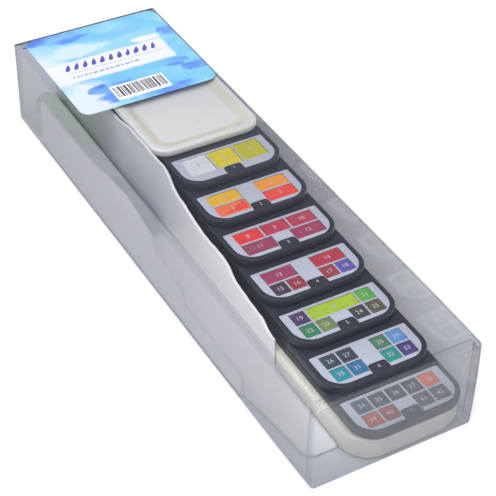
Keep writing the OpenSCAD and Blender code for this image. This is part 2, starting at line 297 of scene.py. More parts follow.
def outline(low, high, near_r, far_r, inset=0.0, steps=10):
    """Counter-clockwise plan outline with its own radius at the near and at the far corners."""
    x0, y0, x1, y1 = low[0] + inset, low[1] + inset, high[0] - inset, high[1] - inset
    near, far = max(near_r - inset, 0.05), max(far_r - inset, 0.05)
    points = []
    for x, y, r, start in ((x0 + near, y0 + near, near, 180), (x1 - near, y0 + near, near, 270),
                           (x1 - far, y1 - far, far, 0), (x0 + far, y1 - far, far, 90)):
        for k in range(steps + 1):
            a = math.radians(start + 90 * k / steps)
            points.append((x + r * math.cos(a), y + r * math.sin(a)))
    return points


def shrink(points, distance):
    """A counter-clockwise outline moved inwards by a small distance."""
    count = len(points)
    moved = []
    for k in range(count):
        before, here, after = (Vector(points[(k + d) % count]) for d in (-1, 0, 1))
        first, second = here - before, after - here
        if first.length < 1e-6 or second.length < 1e-6:
            moved.append(tuple(here))
            continue
        n1 = Vector((-first.y, first.x)).normalized()
        n2 = Vector((-second.y, second.x)).normalized()
        middle = n1 + n2
        scale = distance / max(0.3, middle.dot(n1))
        moved.append(tuple(here + middle * scale))
    return moved


def clip(points, low, high):
    """The part of a convex outline inside the rectangle from low to high."""
    for axis, limit, sign in ((0, low[0], 1), (0, high[0], -1), (1, low[1], 1), (1, high[1], -1)):
        kept = []
        for k, here in enumerate(points):
            before = points[k - 1]
            d0, d1 = sign * (before[axis] - limit), sign * (here[axis] - limit)
            if d0 * d1 < 0:
                t = d0 / (d0 - d1)
                kept.append(tuple(a + (b - a) * t for a, b in zip(before, here)))
            if d1 >= 0:
                kept.append(here)
        points = kept
    return [p for k, p in enumerate(points) if math.dist(p, points[k - 1]) > 0.01]


def ring(bm, points, z):
    return [bm.verts.new((x, y, z)) for x, y in points]


def skin(bm, rings):
    faces = []
    for a, b in zip(rings, rings[1:]):
        for k in range(len(a)):
            n = (k + 1) % len(a)
            faces.append(bm.faces.new((a[k], a[n], b[n], b[k])))
    return faces


def fill(bm, *loops):
    """Closes a flat outline, leaving the further loops open as holes."""
    edges = []
    for loop in loops:
        for k in range(len(loop)):
            pair = (loop[k - 1], loop[k])
            edges.append(bm.edges.get(pair) or bm.edges.new(pair))
    bmesh.ops.triangle_fill(bm, use_beauty=True, edges=edges)


def prism(bm, points, z0, z1, bevel=0.0, holes=()):
    """A closed slab with softened top and bottom edges."""
    if bevel:
        half = shrink(points, bevel * 0.3)
        rings = [ring(bm, shrink(points, bevel), z0), ring(bm, half, z0 + bevel * 0.3),
                 ring(bm, points, z0 + bevel), ring(bm, points, z1 - bevel),
                 ring(bm, half, z1 - bevel * 0.3), ring(bm, shrink(points, bevel), z1)]
    else:
        rings = [ring(bm, points, z0), ring(bm, points, z1)]
    skin(bm, rings)
    inner = [(ring(bm, h, z0), ring(bm, h, z1)) for h in holes]
    for pair in inner:
        skin(bm, pair)
    fill(bm, rings[0], *(a for a, _ in inner))
    fill(bm, rings[-1], *(b for _, b in inner))


def make(name, bm, materials, body, replaced=(), angle=32, merge=0.001):
    """Turns a millimetre bmesh into a piece that rides on a body."""
    if merge:
        bmesh.ops.remove_doubles(bm, verts=bm.verts, dist=merge)
    bmesh.ops.recalc_face_normals(bm, faces=bm.faces)
    if bm.calc_volume(signed=True) < 0:
        bmesh.ops.reverse_faces(bm, faces=bm.faces)
    mesh = bpy.data.meshes.new(name)
    bm.to_mesh(mesh)
    bm.free()
    mesh.transform(Matrix.Scale(MM, 4))
    mesh.shade_smooth()
    mesh.set_sharp_from_angle(angle=math.radians(angle))
    piece = bpy.data.objects.new(name, mesh)
    SCENE.collection.objects.link(piece)
    for material in materials if isinstance(materials, (list, tuple)) else [materials]:
        mesh.materials.append(material)
    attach(piece, body)
    if replaced:
        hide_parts(*replaced)
    return piece


def dress(node, material):
    """Gives a CAD node whose shape stays a better material."""
    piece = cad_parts[node]
    piece.data.materials.clear()
    piece.data.materials.append(material)


def ease(t):
    return (1 - math.cos(math.pi * t)) / 2


def wave(stops, at):
    """Height at a place along a row of (place, height) stops, eased between them."""
    if at <= stops[0][0]:
        return stops[0][1]
    for (a, low), (b, high) in zip(stops, stops[1:]):
        if at <= b:
            return low + (high - low) * ease((at - a) / (b - a))
    return stops[-1][1]


# ---------------------------------------------------------------- the pieces

BLACK = moulded("tray_black", srgb(42, 47, 60), 0.4, 0.08, 0.08)
WHITE = moulded("dish_white", srgb(252, 251, 246), 0.3, 0.008, 0.012, 0.2, 0.1)
# Painted shade: a beige-tinted copy of the dish white for the well's sloping sides, standing in for
# the shade that falls on them
SLOPE_SHADE = moulded("dish_slope_painted_shade", srgb(246, 241, 220), 0.34, 0.008, 0.02, 0.2, 0.1)
# Painted shade: a darker, creamier copy of the dish white for the base dish, standing in for the shade
# deep in the box
BASE_SHADED_WHITE = moulded("base_white_painted_shade", srgb(232, 230, 216), 0.34, 0.01, 0.03, 0.15, 0.1)
LINER = moulded("liner_white", srgb(240, 240, 240), 0.34, 0.006, 0.012, 0.15, 0.06)
CARD = moulded("support_card", srgb(205, 207, 216), 0.6, 0.12, 0.02)
PINS = moulded("pin_white", srgb(215, 215, 215), 0.4, 0.05, 0.02)
PRINT = moulded("card_print", srgb(196, 199, 213), 0.38, 0.03, 0.02, 0.3)
CLEAR = clear_sheet("clear_sheet", (0.95, 0.955, 0.968, 1), srgb(80, 86, 104), 0.005, 0.41)
NEAR_SHEET = clear_sheet("sheet_near_end", (0.9, 0.91, 0.925, 1), srgb(112, 118, 130), 0.1, 0.3)
TONGUE = clear_sheet("sheet_tongue", (0.97, 0.975, 0.98, 1), srgb(170, 175, 188), 0.01, 0.05)
FAR_SHEET = clear_sheet("sheet_far_end", (0.84, 0.86, 0.9, 1), srgb(110, 116, 132), 0.08, 0.2)
EDGE = clear_sheet("sheet_edge", (0.88, 0.89, 0.92, 1), srgb(112, 117, 132), 0.07, 0.3)
FAR_EDGE = clear_sheet("sheet_far_edge", (0.55, 0.57, 0.64, 1), srgb(76, 80, 94), 0.3, 0.4)

# Trays ------------------------------------------------------------------
TRAY_R, TRAY_FAR_R = 10.5, 3.0
CARD_D, CARD_R, CARD_FAR_R, CARD_NEAR = 18.8, 8.5, 0.8, 2.2
CARD_SIDE = 2.2                   # from the tray's side to its card
SEAT, CARD_T = 0.6, 0.4
CELL_SIDE, CELL_NEAR, CELL_FAR = 3.2, 1.6, 1.0
COLUMNS, BAR = 5, 0.7
TAB_W, TAB_D, TAB_R, TAB_GAP = 8.4, 4.6, 1.6, 0.25
FLOOR_T, CAKE_GAP, CAKE_DROP = 0.6, 0.15, 0.3
PIN_OFFSETS = (16, 9)             # slots stand wide and narrow in turn, level by level
PIN_Y, END_PLAY, STEM_SLOT_R, HEAD_SLOT_R, HEAD_SLOT_T = 34.0, 0.2, 1.7, 3.2, 1.2


def pair_row(row):
    return [(c, 2, row, 1) for c in (0, 3)]


def four_row(row):
    return [(c, 1, row, 1) for c in (0, 1, 3, 4)]


def thirds(rows):
    return [(k * COLUMNS / 3, COLUMNS / 3, 0, rows) for k in range(3)]


# First column, columns, first row from the far side, rows
WINDOWS = {
    1: thirds(1.65),
    2: pair_row(0) + pair_row(1),
    3: thirds(1) + pair_row(1),
    4: pair_row(0) + four_row(1),
    5: [(0, 1, 0, 1), (1, 3, 0, 1), (4, 1, 0, 1)] + four_row(1),
    6: four_row(0) + four_row(1),
    7: [(c, 1, 0, 1) for c in range(5)] + four_row(1),
}

COLOURS = {
    1: [(232, 232, 236), (236, 214, 44), (206, 202, 38)],
    2: [(246, 190, 44), (255, 164, 58), (255, 124, 78), (252, 76, 66)],
    3: [(242, 60, 62), (196, 60, 84), (192, 60, 88), (158, 72, 98), (166, 58, 98)],
    4: [(168, 62, 100), (192, 54, 74), (76, 52, 72), (160, 56, 66), (164, 54, 68), (100, 86, 180)],
    5: [(86, 60, 106), (178, 206, 54), (92, 178, 70), (58, 136, 90), (122, 142, 80),
        (64, 66, 66), (92, 92, 70)],
    6: [(58, 78, 86), (60, 70, 84), (76, 126, 98), (100, 150, 216), (40, 152, 160),
        (52, 120, 162), (34, 152, 142), (76, 60, 124)],
    7: [(70, 92, 110), (54, 66, 86), (62, 54, 68), (54, 54, 72), (232, 106, 58),
        (188, 88, 66), (158, 72, 62), (84, 76, 80), (72, 78, 84)],
}


class Tray:
    """Places on one tray, read from its packed box."""

    def __init__(self, i):
        self.low, self.high = span(f"tray_{i}")
        self.card_low = (self.low.x + CARD_SIDE, self.low.y + CARD_NEAR)
        self.card_high = (self.high.x - CARD_SIDE, self.low.y + CARD_NEAR + CARD_D)
        self.card_w = self.card_high[0] - self.card_low[0]
        self.column_w = (self.card_w - 2 * CELL_SIDE) / COLUMNS
        self.row_d = (CARD_D - CELL_NEAR - CELL_FAR) / 2
        self.seat_z = self.high.z - SEAT
        self.middle = (self.low.x + self.high.x) / 2

    def card_outline(self, grow, notch):
        """The card's outline with the finger tab's notch in its near edge."""
        whole = outline(self.card_low, self.card_high, CARD_R, CARD_FAR_R, -grow)
        half, depth, r = TAB_W / 2 + notch, TAB_D + notch, TAB_R + notch
        y = self.card_low[1]
        path = [(self.middle - half, y - grow)]
        for side, start in ((-1, 180), (1, 90)):
            for k in range(7):
                a = math.radians(start - 90 * k / 6)
                path.append((self.middle + side * (half - r) + r * math.cos(a),
                             y + depth - r + r * math.sin(a)))
        path.append((self.middle + half, y - grow))
        corner = len(whole) // 4
        return whole[:corner] + path + whole[corner:]

    def window(self, cell, gap):
        """One window's outline, made smaller by gap all round."""
        column, columns, row, rows = cell
        inner = outline(self.card_low, self.card_high, CARD_R, 0.3 + BAR + gap, BAR + gap)
        x = self.card_low[0] + CELL_SIDE + column * self.column_w + BAR / 2 + gap
        y = self.card_high[1] - CELL_FAR - (row + rows) * self.row_d + BAR / 2 + gap
        return clip(inner, (x, y), (x + columns * self.column_w - BAR - 2 * gap,
                                    y + rows * self.row_d - BAR - 2 * gap))

    def slots(self, offset):
        """Centre lines of the two pin slots, as (x, near end, far end)."""
        y = self.low.y + PIN_Y
        return [(self.middle + side * offset, y - END_PLAY, y + PITCH + END_PLAY)
                for side in (-1, 1)]


def slot_outline(x, y0, y1, r, steps=12):
    points = []
    for y, start in ((y0, 180), (y1, 0)):
        for k in range(steps + 1):
            a = math.radians(start + 180 * k / steps)
            points.append((x + r * math.cos(a), y + r * math.sin(a)))
    return points


def build_tray(i):
    """A shallow black tray: softened rim, card seat with its finger tab, and two pin slots."""
    tray = Tray(i)
    z0, z1 = tray.low.z, tray.high.z
    bm = bmesh.new()
    rings = [ring(bm, outline(tray.low, tray.high, TRAY_R, TRAY_FAR_R, inset), z)
             for inset, z in ((0.4, z0), (0.12, z0 + 0.12), (0, z0 + 0.4), (0, z1 - 0.5),
                              (0.05, z1 - 0.25), (0.2, z1 - 0.06), (0.45, z1))]
    skin(bm, rings)
    seat = tray.card_outline(0.1, 0.0)
    rim = [ring(bm, shrink(seat, -0.12), z1), ring(bm, seat, z1 - 0.12), ring(bm, seat, tray.seat_z)]
    skin(bm, rim)
    fill(bm, rim[-1])
    top_holes, bottom_holes = [rim[0]], []
    offset = PIN_OFFSETS[(i - 1) % 2]
    for x, y0, y1 in tray.slots(offset):
        narrow = slot_outline(x, y0, y1, STEM_SLOT_R)
        wide = slot_outline(x, y0, y1, HEAD_SLOT_R)
        loops = [ring(bm, wide, z0), ring(bm, wide, z0 + HEAD_SLOT_T),
                 ring(bm, narrow, z0 + HEAD_SLOT_T), ring(bm, narrow, z1)]
        skin(bm, loops)
        bottom_holes.append(loops[0])
        top_holes.append(loops[-1])
    fill(bm, rings[-1], *top_holes)
    fill(bm, rings[0], *bottom_holes)
    make(f"paint_tray_{i}", bm, BLACK, body_of_tray(i), [f"tray_{i}"])


def build_card(i):
    tray = Tray(i)
    bm = bmesh.new()
    outer = tray.card_outline(0.0, TAB_GAP)
    z0, z1 = tray.seat_z, tray.seat_z + CARD_T
    prism(bm, outer, z0, z1, 0.07, [tray.window(cell, 0) for cell in WINDOWS[i]])
    make(f"colour_card_{i}", bm, PRINT, body_of_tray(i), [f"color_card_{i}"])


def build_cakes(i):
    """Paint cakes with rounded shoulders and a faintly dished face, each in its own colour."""
    tray = Tray(i)
    z0, z1 = tray.low.z + FLOOR_T, tray.high.z - CAKE_DROP
    bm = bmesh.new()
    materials = []
    for number, cell in enumerate(WINDOWS[i]):
        points = tray.window(cell, CAKE_GAP)
        first = len(bm.faces)
        rings = [ring(bm, points, z0), ring(bm, points, z1 - 0.3),
                 ring(bm, shrink(points, 0.08), z1 - 0.1), ring(bm, shrink(points, 0.3), z1),
                 ring(bm, shrink(points, 0.9), z1 - 0.03)]
        skin(bm, rings)
        fill(bm, rings[0])
        fill(bm, rings[-1])
        bm.faces.ensure_lookup_table()
        for face in bm.faces[first:]:
            face.material_index = number
        materials.append(paint(f"paint_{i}_{number + 1}", srgb(*COLOURS[i][number])))
    make(f"paint_cakes_{i}", bm, materials, body_of_tray(i), [f"paint_pans_{i}"], 40)


def text_mesh(bm, text, size, x, y, z, thickness=0.03):
    """Adds plain numerals, standing on height z and centred at (x, y)."""
    curve = bpy.data.curves.new("numerals", "FONT")
    curve.body = text
    curve.size = size
    curve.align_x = "CENTER"
    curve.align_y = "CENTER"
    curve.extrude = thickness / 2
    curve.resolution_u = 3
    carrier = bpy.data.objects.new("numerals", curve)
    SCENE.collection.objects.link(carrier)
    bpy.context.view_layer.update()
    mesh = bpy.data.meshes.new_from_object(carrier.evaluated_get(
        bpy.context.evaluated_depsgraph_get()))
    mesh.transform(Matrix.Translation((x, y, z + thickness / 2)))
    bm.from_mesh(mesh)
    bpy.data.meshes.remove(mesh)
    bpy.data.objects.remove(carrier)
    bpy.data.curves.remove(curve)


def build_numerals(i, first):
    """Plain numbers: one on each cake, and the tray's own on its finger tab."""
    tray = Tray(i)
    z = tray.high.z - CAKE_DROP - 0.03
    light, dark = bmesh.new(), bmesh.new()
    for k, cell in enumerate(WINDOWS[i]):
        points = tray.window(cell, CAKE_GAP)
        x = (min(p[0] for p in points) + max(p[0] for p in points)) / 2
        y = (min(p[1] for p in points) + max(p[1] for p in points)) / 2
        pale = sum(COLOURS[i][k]) > 640
        text_mesh(dark if pale else light, str(first + k), 3.2, x, y, z)
    text_mesh(light, str(i), 2.8, tray.middle, tray.card_low[1] + TAB_D / 2, tray.high.z)
    make(f"numerals_{i}", light, NUMERAL_LIGHT, body_of_tray(i), merge=0)
    if len(dark.verts):
        make(f"dark_numerals_{i}", dark, NUMERAL_DARK, body_of_tray(i), merge=0)
    else:
        dark.free()


NUMERAL_LIGHT = moulded("numeral_light", srgb(204, 196, 206), 0.5, 0.02, 0.03)
NUMERAL_DARK = moulded("numeral_dark", srgb(90, 90, 100), 0.5, 0.02, 0.03)

first_number = 1
for i in TRAYS:
    build_tray(i)
    build_card(i)
    build_cakes(i)
    build_numerals(i, first_number)
    first_number += len(WINDOWS[i])
    if i < 7:
        dress(f"tray_{i}_pins", PINS)
dress("mixing_dish_pins", PINS)


# Dishes -----------------------------------------------------------------

def build_mixing_dish():
    """White dish with a rolled rim and a wide, softly sloping well."""
    low, high = span("mixing_dish")
    z0, z1 = low.z, high.z
    bm = bmesh.new()
    outer = [(1.2, z0), (0.35, z0 + 0.15), (0, z0 + 0.7), (0, z1 - 1.0), (0.1, z1 - 0.5),
             (0.4, z1 - 0.14), (0.9, z1), (1.5, z1 - 0.04), (2.0, z1 - 0.2)]
    slope = [(2.0 + 6.0 * t, z1 - 0.2 - 1.6 * ease(t)) for t in (0.12, 0.25, 0.4, 0.55, 0.7, 0.85, 1)]
    rings = [ring(bm, outline(low, high, 8, 8, inset, 12), z) for inset, z in outer]
    for inset, z in slope:
        r = 8 - 0.55 * (inset - 2) + inset
        rings.append(ring(bm, outline(low, high, r, r, inset, 12), z))
    skin(bm, rings[:len(outer) + 1])
    # The well's sloping sides take the painted-shade copy of the white
    for face in skin(bm, rings[len(outer):-1]):
        face.material_index = 1
    skin(bm, rings[-2:])
    fill(bm, rings[0])
    fill(bm, rings[-1])
    make("mixing_dish_shell", bm, [WHITE, SLOPE_SHADE], "mixing_dish_slider", ["mixing_dish"],
         50)


def build_base_dish():
    """Deep white dish that the lowest tray closes, with three wells."""
    low, high = span("base_dish")
    z0, z1 = low.z, high.z
    wall, wells, floor = 2.0, 3, 1.6
    well_l = (high.y - low.y - wall * (wells + 1)) / wells
    bm = bmesh.new()
    rings = [ring(bm, outline(low, high, 13, 8, inset, 14), z)
             for inset, z in ((1.0, z0), (0.3, z0 + 0.2), (0, z0 + 0.8), (0, z1 - 1.3),
                              (0.08, z1 - 0.6), (0.35, z1 - 0.14), (0.8, z1))]
    skin(bm, rings)
    holes = []
    for k in range(wells):
        y = low.y + wall + k * (well_l + wall)
        corners = ((low.x + 2 * wall, y), (high.x - 2 * wall, y + well_l))
        inner = [ring(bm, outline(*corners, 9, 9, inset), z)
                 for inset, z in ((0, z1), (0.3, z1 - 0.3), (0.5, z0 + floor + 2),
                                  (1.2, z0 + floor + 0.5), (3, z0 + floor))]
        skin(bm, inner)
        fill(bm, inner[-1])
        holes.append(inner[0])
    fill(bm, rings[-1], *holes)
    fill(bm, rings[0])
    # The base dish wears the darker painted-shade copy of the white
    make("base_dish_shell", bm, BASE_SHADED_WHITE, "box_and_base", ["base_dish"], 50)


# Liner ------------------------------------------------------------------
# Top edges of the inner wall and of the outer flap, as (distance from the near end, height)
INNER_STOPS = [(64, 18), (73, 21.5), (92, 23.5), (104, 29.2), (122, 29.4), (144, 33.5), (159, 41),
               (183, 41.2), (215, 38), (279, 36)]
OUTER_STOPS = [(55, 11.5), (103, 10.8), (108, 18), (128, 19.8), (136, 27.5), (160, 31.5),
               (205, 26.5), (250, 26)]
LINER_T = 0.6
LIP = 1.3                         # rolled top edge of the flap and of the wall
BEND_R = 1.4                      # between the channel floor and its sides
KERB, KERB_END = 1.8, 0.9         # floor's upturned edge, and what is left of it at the corner
WALL_FROM, FLAP_FROM, FLAP_TO = 62, 55, 252    # from the box's near end
CORNER_R = 6                      # near corner of the floor, on the left
CORNER_X, DRAWN_BACK = 6.4, 4.0   # floor's edge from the box's side, and its taper to the flap


def build_liner():
    """Thin formed sheet: outer flap, channel floor and scalloped inner wall in one skin."""
    low, high = span("liner")
    box_left, box_near = span("box_sleeve")[0].x, span("box_sleeve")[0].y
    wall_y, flap_near, flap_far = (box_near + d for d in (WALL_FROM, FLAP_FROM, FLAP_TO))
    breaks = {low.y + d for d in (0, 0.4, 1, 2, 3.5, 5)} | {high.y}
    breaks |= {edge + d for edge in (wall_y, flap_near) for d in (-0.6, 0)}
    breaks |= {flap_far, flap_far + 0.6}
    breaks |= {low.y + 1.6 * k for k in range(4, int((high.y - low.y - 0.5) / 1.6))}
    stations = sorted(breaks)
    r, kerb = BEND_R, low.z + KERB

    def left_edge(y):
        """Left side of the sheet: straight along the flap, drawn in and rounded before it."""
        if y >= flap_near:
            return low.x
        d = y - low.y
        if d < CORNER_R:
            return box_left + CORNER_X + CORNER_R - math.sqrt(CORNER_R ** 2 - (CORNER_R - d) ** 2)
        return (box_left + CORNER_X
                - DRAWN_BACK * (d - CORNER_R) / (flap_near - low.y - CORNER_R))

    def profile(y):
        """Outer skin of the section, from the flap's top edge round to the wall's top edge."""
        ripple = 0.22 * math.sin(y * 0.37) + 0.14 * math.sin(y * 0.93 + 1)
        x0 = left_edge(y)
        # The kerb runs out at the near corner, where the brush passes over it
        left_kerb = low.z + KERB_END + (KERB - KERB_END) * min(1, (y - low.y) / CORNER_R)
        left_r = min(r, left_kerb - low.z - 0.3)
        has_flap, has_wall = flap_near <= y <= flap_far, y >= wall_y
        left = wave(OUTER_STOPS, y - box_near) + ripple * 0.6 if has_flap else left_kerb
        right = wave(INNER_STOPS, y - box_near) + ripple if has_wall else kerb
        flap_lip, wall_lip = (LIP if has_flap else 0.05), (LIP if has_wall else 0.05)
        points = [(x0 + flap_lip, left - 0.25), (x0 + flap_lip * 0.5, left)]
        for k in range(9):
            points.append((x0, left - 0.15 + (low.z + left_r - left + 0.15) * k / 8))
        for k in range(1, 6):
            a = math.radians(180 + 90 * k / 5)
            points.append((x0 + left_r * (1 + math.cos(a)), low.z + left_r * (1 + math.sin(a))))
        for k in range(1, 8):
            points.append((x0 + left_r + (high.x - x0 - left_r - r) * k / 8, low.z))
        for k in range(6):
            a = math.radians(270 + 90 * k / 5)
            points.append((high.x - r + r * math.cos(a), low.z + r + r * math.sin(a)))
        for k in range(1, 13):
            points.append((high.x, low.z + r + (right - 0.15 - low.z - r) * k / 12))
        return points + [(high.x - wall_lip * 0.5, right), (high.x - wall_lip, right - 0.25)]

    bm = bmesh.new()
    rows = [[bm.verts.new((x, y, z)) for x, z in profile(y)] for y in stations]
    for a, b in zip(rows, rows[1:]):
        for k in range(len(a) - 1):
            bm.faces.new((a[k], a[k + 1], b[k + 1], b[k]))
    piece = make("liner_sheet", bm, LINER, "box_and_base", ["liner"], 40)
    solid = piece.modifiers.new("thickness", "SOLIDIFY")
    solid.thickness = LINER_T * MM
    floor = max(piece.data.polygons, key=lambda face: abs(face.normal.z) * face.area)
    solid.offset = 1.0 if floor.normal.z > 0 else -1.0    # thickness grows into the channel


build_mixing_dish()
build_base_dish()
build_liner()
dress("stair_support", CARD)


# Clear box --------------------------------------------------------------
SHEET, FOLD_R, FOLD_LINE = 0.4, 0.7, 0.55


def section(low, high, inset, steps=4, wall_steps=6):
    """The sleeve's cross-section, counter-clockwise, as (x, z, lies on a fold)."""
    r = FOLD_R - inset
    x0, z0, x1, z1 = low.x + inset, low.z + inset, high.x - inset, high.z - inset
    folds = []
    # Each fold's centre, the angle its arc starts at, and the steps back along the wall before it
    # and on along the wall after it
    for cx, cz, start, before, after in ((x0 + r, z0 + r, 180, (0, 1), (1, 0)),
                                         (x1 - r, z0 + r, 270, (-1, 0), (0, 1)),
                                         (x1 - r, z1 - r, 0, (0, -1), (-1, 0)),
                                         (x0 + r, z1 - r, 90, (1, 0), (0, -1))):
        arc = []
        for k in range(steps + 1):
            a = math.radians(start + 90 * k / steps)
            arc.append((cx + r * math.cos(a), cz + r * math.sin(a)))
        first = tuple(c + FOLD_LINE * d for c, d in zip(arc[0], before))
        last = tuple(c + FOLD_LINE * d for c, d in zip(arc[-1], after))
        folds.append([first] + arc + [last])
    points = []
    for fold, following in zip(folds, folds[1:] + folds[:1]):
        points += [(x, z, True) for x, z in fold[:-1]] + [(*fold[-1], False)]
        for k in range(1, wall_steps):
            t = k / wall_steps
            points.append((*(a + (b - a) * t for a, b in zip(fold[-1], following[0])), False))
    return points


FOLD_REACH, FOLD_END = 30, 1.5    # how far in from the near end the folds are drawn in
SIDE_PULL, SIDE_END_PULL = 0.45, 0.3
TOP_DROP, TOP_END_DROP = 0.08, 0.3


def drawn_in(low, high, x, y, z):
    """Pulls the folds inwards at the near end, where the sheet bulges between them."""
    reach = max(0.0, 1 - (y - low.y) / FOLD_REACH) ** 1.5
    end = max(0.0, 1 - (y - low.y) / FOLD_END) ** 2
    u = 2 * (x - low.x) / (high.x - low.x) - 1
    w = 2 * (z - low.z) / (high.z - low.z) - 1
    x -= math.copysign((SIDE_PULL * reach * w * w + SIDE_END_PULL * end) * abs(u), u)
    z -= (TOP_DROP * reach * u * u + TOP_END_DROP * end) * max(w, 0)
    return x, y, z


def build_sleeve():
    low, high = span("box_sleeve")
    outer, inner = section(low, high, 0), section(low, high, SHEET)
    stations = [low.y + d for d in (0, 0.3, 0.8, 1.5)] \
        + [low.y + (high.y - low.y) * k / 40 for k in range(1, 40)] + [high.y - 0.6, high.y]
    bm = bmesh.new()
    skins = []
    for points in (outer, inner):
        rows = [[bm.verts.new(drawn_in(low, high, x, y, z)) for x, z, _ in points]
                for y in stations]
        for j, (a, b) in enumerate(zip(rows, rows[1:])):
            for k in range(len(a)):
                n = (k + 1) % len(a)
                face = bm.faces.new((a[k], a[n], b[n], b[k]))
                face.material_index = 2 if j == len(rows) - 2 else 1 if points[k][2] else 0
        skins.append(rows)
    for end, slot in ((0, 1), (-1, 2)):
        a, b = skins[0][end], skins[1][end]
        for k in range(len(a)):
            n = (k + 1) % len(a)
            bm.faces.new((a[k], a[n], b[n], b[k])).material_index = slot
    make("clear_sleeve", bm, [CLEAR, EDGE, FAR_EDGE], "box_and_base", ["box_sleeve"])


def plate(bm, across, along, depth, place, edges, slot=0):
    """A thin closed plate on a grid of lines; cells in the named outermost rows or columns are rim.

    place turns (across, along, depth) into a position; edges holds some of a0, a1, l0 and l1.
    """
    faces = [[[bm.verts.new(place(a, b, d)) for b in along] for a in across] for d in depth]
    rows, columns = len(across) - 1, len(along) - 1

    def rim(i, j):
        on_rim = (("a0" in edges and i == 0) or ("a1" in edges and i == rows - 1)
                  or ("l0" in edges and j == 0) or ("l1" in edges and j == columns - 1))
        return 1 if on_rim else slot

    for side in faces:
        for i in range(rows):
            for j in range(columns):
                quad = (side[i][j], side[i + 1][j], side[i + 1][j + 1], side[i][j + 1])
                bm.faces.new(quad).material_index = rim(i, j)
    bottom, top = faces
    border = [(i, 0) for i in range(rows)] + [(rows, j) for j in range(columns)] \
        + [(i, columns) for i in range(rows, 0, -1)] + [(0, j) for j in range(columns, 0, -1)]
    for (i, j), (m, n) in zip(border, border[1:] + border[:1]):
        bm.faces.new((bottom[i][j], bottom[m][n], top[m][n], top[i][j])).material_index = 1


def build_flap(node, name, body, inwards):
    """End flap with a tuck tongue at the top and at each side; inwards is +1 at the near end."""
    low, high = span(node)
    t, tongue, corner, rim, past_fold = 0.3, 5.0, 2.0, 0.6, 1.1
    face_y = low.y if inwards > 0 else high.y
    sleeve = span("box_sleeve")
    bm = bmesh.new()

    def place(x, d, z):
        return drawn_in(*sleeve, x, face_y + inwards * d, z)

    def steps(start, end, count=12):
        return [start + (end - start) * k / count for k in range(count + 1)]

    plate(bm, [low.x] + steps(low.x + rim, high.x - rim) + [high.x],
          [low.z] + steps(low.z + rim, high.z - rim) + [high.z], (0, t),
          lambda x, z, d: place(x, d, z), ("a0", "a1", "l0", "l1"))
    plate(bm, steps(low.x + corner, high.x - corner), (t, past_fold, tongue - rim, tongue),
          (high.z - t, high.z), lambda x, d, z: place(x, d, z), ("l1",), 2)
    for x in (low.x, high.x - t):
        plate(bm, steps(low.z + corner, high.z - t - corner), (t, tongue - rim, tongue),
              (x, x + t), lambda z, d, side: place(side, d, z), ("l1",), 2)
    sheets = [NEAR_SHEET, EDGE, TONGUE] if inwards > 0 else [FAR_SHEET, FAR_EDGE, TONGUE]
    make(name, bm, sheets, body, [node], merge=0)


def build_label():
    """Printed label: the wash, a plain code panel with even bars, and a row of brush dabs."""
    low, high = span("box_label")
    side = high.x - low.x
    bm = bmesh.new()
    rings = [ring(bm, outline(low, high, 5, 5, inset, 10), z)
             for inset, z in ((0, low.z + 0.01), (0, high.z - 0.06), (0.06, high.z))]
    skin(bm, rings)
    fill(bm, rings[0])
    fill(bm, rings[-1])
    wash = wash_material(low.x, low.y, side)
    make("wash_label", bm, wash, "box_and_base", ["box_label"])

    def printed(name, material, rectangles, thickness):
        sheet = bmesh.new()
        for x0, y0, x1, y1 in rectangles:
            prism(sheet, [(x0, y0), (x1, y0), (x1, y1), (x0, y1)], high.z - 0.05,
                  high.z - 0.05 + thickness)
        make(name, sheet, material, "box_and_base", merge=0)

    panel = (low.x + 20, low.y + 4, low.x + 47.5, low.y + 16)
    printed("code_panel", moulded("panel_white", srgb(240, 240, 246), 0.45, 0.02, 0.01), [panel], 0.06)
    ink = moulded("label_ink", srgb(40, 40, 58), 0.5, 0.02, 0.05)
    bars, x = [], panel[0] + 1.2
    widths = random.Random(4)
    while x < panel[2] - 1.6:
        width = widths.choice((0.35, 0.5, 0.8, 1.1))
        bars.append((x, panel[1] + 2.2, x + width, panel[3] - 1.2))
        x += width + widths.choice((0.4, 0.5, 0.8))
    printed("code_bars", ink, bars, 0.07)
    rule = moulded("label_rule", srgb(150, 150, 178), 0.5, 0.02, 0.02)
    lines = [(low.x + 8, low.y + 34.6, low.x + 58, low.y + 34.85)]
    dashes = random.Random(2)
    x = low.x + 9
    while x < low.x + 44:
        width = dashes.choice((1.0, 1.6, 2.4))
        lines.append((x, low.y + 30.2, x + width, low.y + 31.4))
        x += width + 0.9
    printed("label_rule", rule, lines, 0.06)

    dabs = bmesh.new()
    shape = random.Random(11)
    for k in range(11):
        cx, cy = low.x + 10 + k * 4.5, low.y + 39.6
        lean, fat = 0.35 + 0.12 * shape.random(), 0.95 + 0.25 * shape.random()
        points = []
        for n in range(28):
            a = 2 * math.pi * n / 28
            # A teardrop: full at the foot, thin where the brush lifts off
            v = 2.7 * math.sin(a)
            u = fat * math.cos(a) * (1 - 0.55 * math.sin(a)) + 0.05 * math.sin(5 * a + k)
            points.append((cx + u + lean * v, cy + v))
        prism(dabs, points, high.z - 0.05, high.z + 0.015)
    make("brush_dabs", dabs, moulded("dab_indigo", srgb(84, 76, 160), 0.5, 0.03, 0.12),
         "box_and_base", merge=0)


build_sleeve()
build_flap("near_end_flap", "near_flap_sheet", "near_flap", 1)
build_flap("far_end_flap", "far_flap_sheet", "far_flap", -1)
build_label()


# Water brush ------------------------------------------------------------

def turned(name, profile, material, body, node, steps=48, angle=40):
    """A piece turned about the brush's axis; the profile is (radius, distance from near end)."""
    low, high = span(node)
    axis_x, axis_z = (low.x + high.x) / 2, (low.z + high.z) / 2
    turns = [2 * math.pi * k / steps for k in range(steps)]
    bm = bmesh.new()
    rows = []
    for r, d in profile:
        r = max(r, 0.001)
        rows.append([bm.verts.new((axis_x + r * math.cos(a), low.y + d, axis_z + r * math.sin(a)))
                     for a in turns])
    skin(bm, rows + [rows[0]])
    return make(name, bm, material, body, [node], angle)


